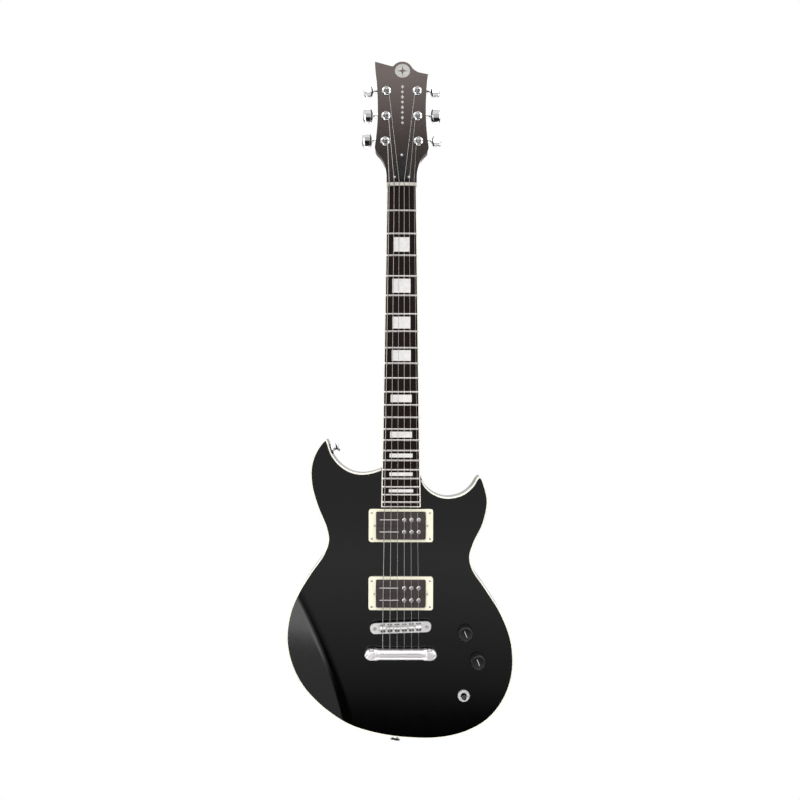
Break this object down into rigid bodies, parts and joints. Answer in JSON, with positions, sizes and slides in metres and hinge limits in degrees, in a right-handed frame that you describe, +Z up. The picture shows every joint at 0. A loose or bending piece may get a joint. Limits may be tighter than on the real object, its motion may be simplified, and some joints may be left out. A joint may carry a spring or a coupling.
{
  "type": "electric guitar",
  "caption": "Solid-body double-cutaway electric guitar with a set neck, two pickups, a bridge with sliding saddles, a stop tailpiece, geared tuners and turning controls.",
  "frame": {"origin": "the wall hanger's point: on the centre line, 30 mm above the nut's lower edge, under the headstock's widest part, 28.5 mm behind the body's front plane", "axes": "+Z up the neck to the headstock, +Y out of the back (the front faces -Y), +X to the right of someone who faces the front"},
  "size_m": [0.3258, 0.0964, 0.9941],
  "materials": {
    "body_lacquer": "gloss black lacquer over solid wood",
    "binding_cream": "polished cream plastic",
    "neck_lacquer": "gloss black lacquer over wood",
    "headstock_face": "dark gloss veneer",
    "fretboard_wood": "oiled dark wood with steel frets",
    "nut_bone": "polished bone",
    "chrome": "polished",
    "steel": "plain drawn or plated steel",
    "black_plastic": "moulded",
    "cream_plastic": "moulded",
    "pickup_black": "moulded bobbins over wound coils"
  },
  "bodies": {
    "guitar": {"body": "body_lacquer", "body_binding": "binding_cream", "control_cover": "black_plastic", "neck": "neck_lacquer", "headstock_overlay": "headstock_face", "truss_rod": "steel", "truss_rod_cover": "black_plastic", "fretboard": "fretboard_wood", "fretboard_binding": "binding_cream", "nut": "nut_bone", "tuner_housing_1": "chrome", "string_1": "steel", "tuner_housing_2": "chrome", "string_2": "steel", "tuner_housing_3": "chrome", "string_3": "steel", "tuner_housing_4": "chrome", "string_4": "steel", "tuner_housing_5": "chrome", "string_5": "steel", "tuner_housing_6": "chrome", "string_6": "steel", "bridge_body": "chrome", "bridge_post_bass": "chrome", "tailpiece_stud_bass": "chrome", "bridge_post_treble": "chrome", "tailpiece_stud_treble": "chrome", "tailpiece": "chrome", "neck_pickup_ring": "cream_plastic", "bridge_pickup_ring": "cream_plastic", "volume_pot": "steel", "tone_pot": "steel", "selector_switch": "chrome", "output_jack": "steel", "jack_plate": "chrome", "strap_button_upper": "chrome", "strap_button_lower": "chrome"},
    "tuner_key_1": {"tuner_key_1": "chrome"},
    "tuner_post_1": {"tuner_post_1": "chrome"},
    "tuner_key_2": {"tuner_key_2": "chrome"},
    "tuner_post_2": {"tuner_post_2": "chrome"},
    "tuner_key_3": {"tuner_key_3": "chrome"},
    "tuner_post_3": {"tuner_post_3": "chrome"},
    "tuner_key_4": {"tuner_key_4": "chrome"},
    "tuner_post_4": {"tuner_post_4": "chrome"},
    "tuner_key_5": {"tuner_key_5": "chrome"},
    "tuner_post_5": {"tuner_post_5": "chrome"},
    "tuner_key_6": {"tuner_key_6": "chrome"},
    "tuner_post_6": {"tuner_post_6": "chrome"},
    "saddle_1": {"saddle_1": "chrome"},
    "saddle_2": {"saddle_2": "chrome"},
    "saddle_3": {"saddle_3": "chrome"},
    "saddle_4": {"saddle_4": "chrome"},
    "saddle_5": {"saddle_5": "chrome"},
    "saddle_6": {"saddle_6": "chrome"},
    "volume_knob": {"volume_knob": "black_plastic"},
    "tone_knob": {"tone_knob": "black_plastic"},
    "selector_lever": {"selector_lever": "black_plastic"},
    "neck_pickup": {"neck_pickup": "pickup_black"},
    "bridge_pickup": {"bridge_pickup": "pickup_black"}
  },
  "joints": [
    {"name": "tuner_key_1_turn", "type": "hinge", "parent": "guitar", "child": "tuner_key_1", "pos_m": [-0.0242, 0.02344, 0.04502], "axis": [-1, 0, 0], "continuous": true},
    {"name": "tuner_post_1_turn", "type": "hinge", "parent": "guitar", "child": "tuner_post_1", "pos_m": [-0.0242, 0.00198, 0.03937], "axis": [0, -0.9736, 0.2284], "continuous": true, "deforming": ["string_1"]},
    {"name": "tuner_key_2_turn", "type": "hinge", "parent": "guitar", "child": "tuner_key_2", "pos_m": [-0.02315, 0.03262, 0.08416], "axis": [-1, 0, 0], "continuous": true},
    {"name": "tuner_post_2_turn", "type": "hinge", "parent": "guitar", "child": "tuner_post_2", "pos_m": [-0.02315, 0.01116, 0.07851], "axis": [0, -0.9736, 0.2284], "continuous": true, "deforming": ["string_2"]},
    {"name": "tuner_key_3_turn", "type": "hinge", "parent": "guitar", "child": "tuner_key_3", "pos_m": [-0.02265, 0.04186, 0.12359], "axis": [-1, 0, 0], "continuous": true},
    {"name": "tuner_post_3_turn", "type": "hinge", "parent": "guitar", "child": "tuner_post_3", "pos_m": [-0.02265, 0.02041, 0.11794], "axis": [0, -0.9736, 0.2284], "continuous": true, "deforming": ["string_3"]},
    {"name": "tuner_key_4_turn", "type": "hinge", "parent": "guitar", "child": "tuner_key_4", "pos_m": [0.02265, 0.04186, 0.12359], "axis": [1, 0, 0], "continuous": true},
    {"name": "tuner_post_4_turn", "type": "hinge", "parent": "guitar", "child": "tuner_post_4", "pos_m": [0.02265, 0.02041, 0.11794], "axis": [0, -0.9736, 0.2284], "continuous": true, "deforming": ["string_4"]},
    {"name": "tuner_key_5_turn", "type": "hinge", "parent": "guitar", "child": "tuner_key_5", "pos_m": [0.02315, 0.03262, 0.08416], "axis": [1, 0, 0], "continuous": true},
    {"name": "tuner_post_5_turn", "type": "hinge", "parent": "guitar", "child": "tuner_post_5", "pos_m": [0.02315, 0.01116, 0.07851], "axis": [0, -0.9736, 0.2284], "continuous": true, "deforming": ["string_5"]},
    {"name": "tuner_key_6_turn", "type": "hinge", "parent": "guitar", "child": "tuner_key_6", "pos_m": [0.0242, 0.02344, 0.04502], "axis": [1, 0, 0], "continuous": true},
    {"name": "tuner_post_6_turn", "type": "hinge", "parent": "guitar", "child": "tuner_post_6", "pos_m": [0.0242, 0.00198, 0.03937], "axis": [0, -0.9736, 0.2284], "continuous": true, "deforming": ["string_6"]},
    {"name": "saddle_1_slide", "type": "slide", "parent": "guitar", "child": "saddle_1", "axis": [0.0401, 0, -0.9992], "range_m": [-0.0026, 0.0026], "deforming": ["string_1"]},
    {"name": "saddle_2_slide", "type": "slide", "parent": "guitar", "child": "saddle_2", "axis": [0.0401, 0, -0.9992], "range_m": [-0.0026, 0.0026], "deforming": ["string_2"]},
    {"name": "saddle_3_slide", "type": "slide", "parent": "guitar", "child": "saddle_3", "axis": [0.0401, 0, -0.9992], "range_m": [-0.0026, 0.0026], "deforming": ["string_3"]},
    {"name": "saddle_4_slide", "type": "slide", "parent": "guitar", "child": "saddle_4", "axis": [0.0401, 0, -0.9992], "range_m": [-0.0026, 0.0026], "deforming": ["string_4"]},
    {"name": "saddle_5_slide", "type": "slide", "parent": "guitar", "child": "saddle_5", "axis": [0.0401, 0, -0.9992], "range_m": [-0.0026, 0.0026], "deforming": ["string_5"]},
    {"name": "saddle_6_slide", "type": "slide", "parent": "guitar", "child": "saddle_6", "axis": [0.0401, 0, -0.9992], "range_m": [-0.0026, 0.0026], "deforming": ["string_6"]},
    {"name": "volume_knob_turn", "type": "hinge", "parent": "guitar", "child": "volume_knob", "pos_m": [0.092, -0.0285, -0.668], "axis": [0, -1, 0], "range_deg": [0, 280]},
    {"name": "tone_knob_turn", "type": "hinge", "parent": "guitar", "child": "tone_knob", "pos_m": [0.1098, -0.0285, -0.7077], "axis": [0, -1, 0], "range_deg": [0, 280]},
    {"name": "selector_lever_tilt", "type": "hinge", "parent": "guitar", "child": "selector_lever", "pos_m": [0.0899, -0.0225, -0.7576], "axis": [1, 0, 0], "range_deg": [-13, 13]},
    {"name": "neck_pickup_height", "type": "slide", "parent": "guitar", "child": "neck_pickup", "axis": [0, -1, 0], "range_m": [-0.0015, 0.0015]},
    {"name": "bridge_pickup_height", "type": "slide", "parent": "guitar", "child": "bridge_pickup", "axis": [0, -1, 0], "range_m": [-0.0015, 0.0015]}
  ],
  "couplings": [
    {"joint": "tuner_post_1_turn", "follows": "tuner_key_1_turn", "ratio": -0.071429},
    {"joint": "tuner_post_2_turn", "follows": "tuner_key_2_turn", "ratio": -0.071429},
    {"joint": "tuner_post_3_turn", "follows": "tuner_key_3_turn", "ratio": -0.071429},
    {"joint": "tuner_post_4_turn", "follows": "tuner_key_4_turn", "ratio": 0.071429},
    {"joint": "tuner_post_5_turn", "follows": "tuner_key_5_turn", "ratio": 0.071429},
    {"joint": "tuner_post_6_turn", "follows": "tuner_key_6_turn", "ratio": 0.071429}
  ]
}
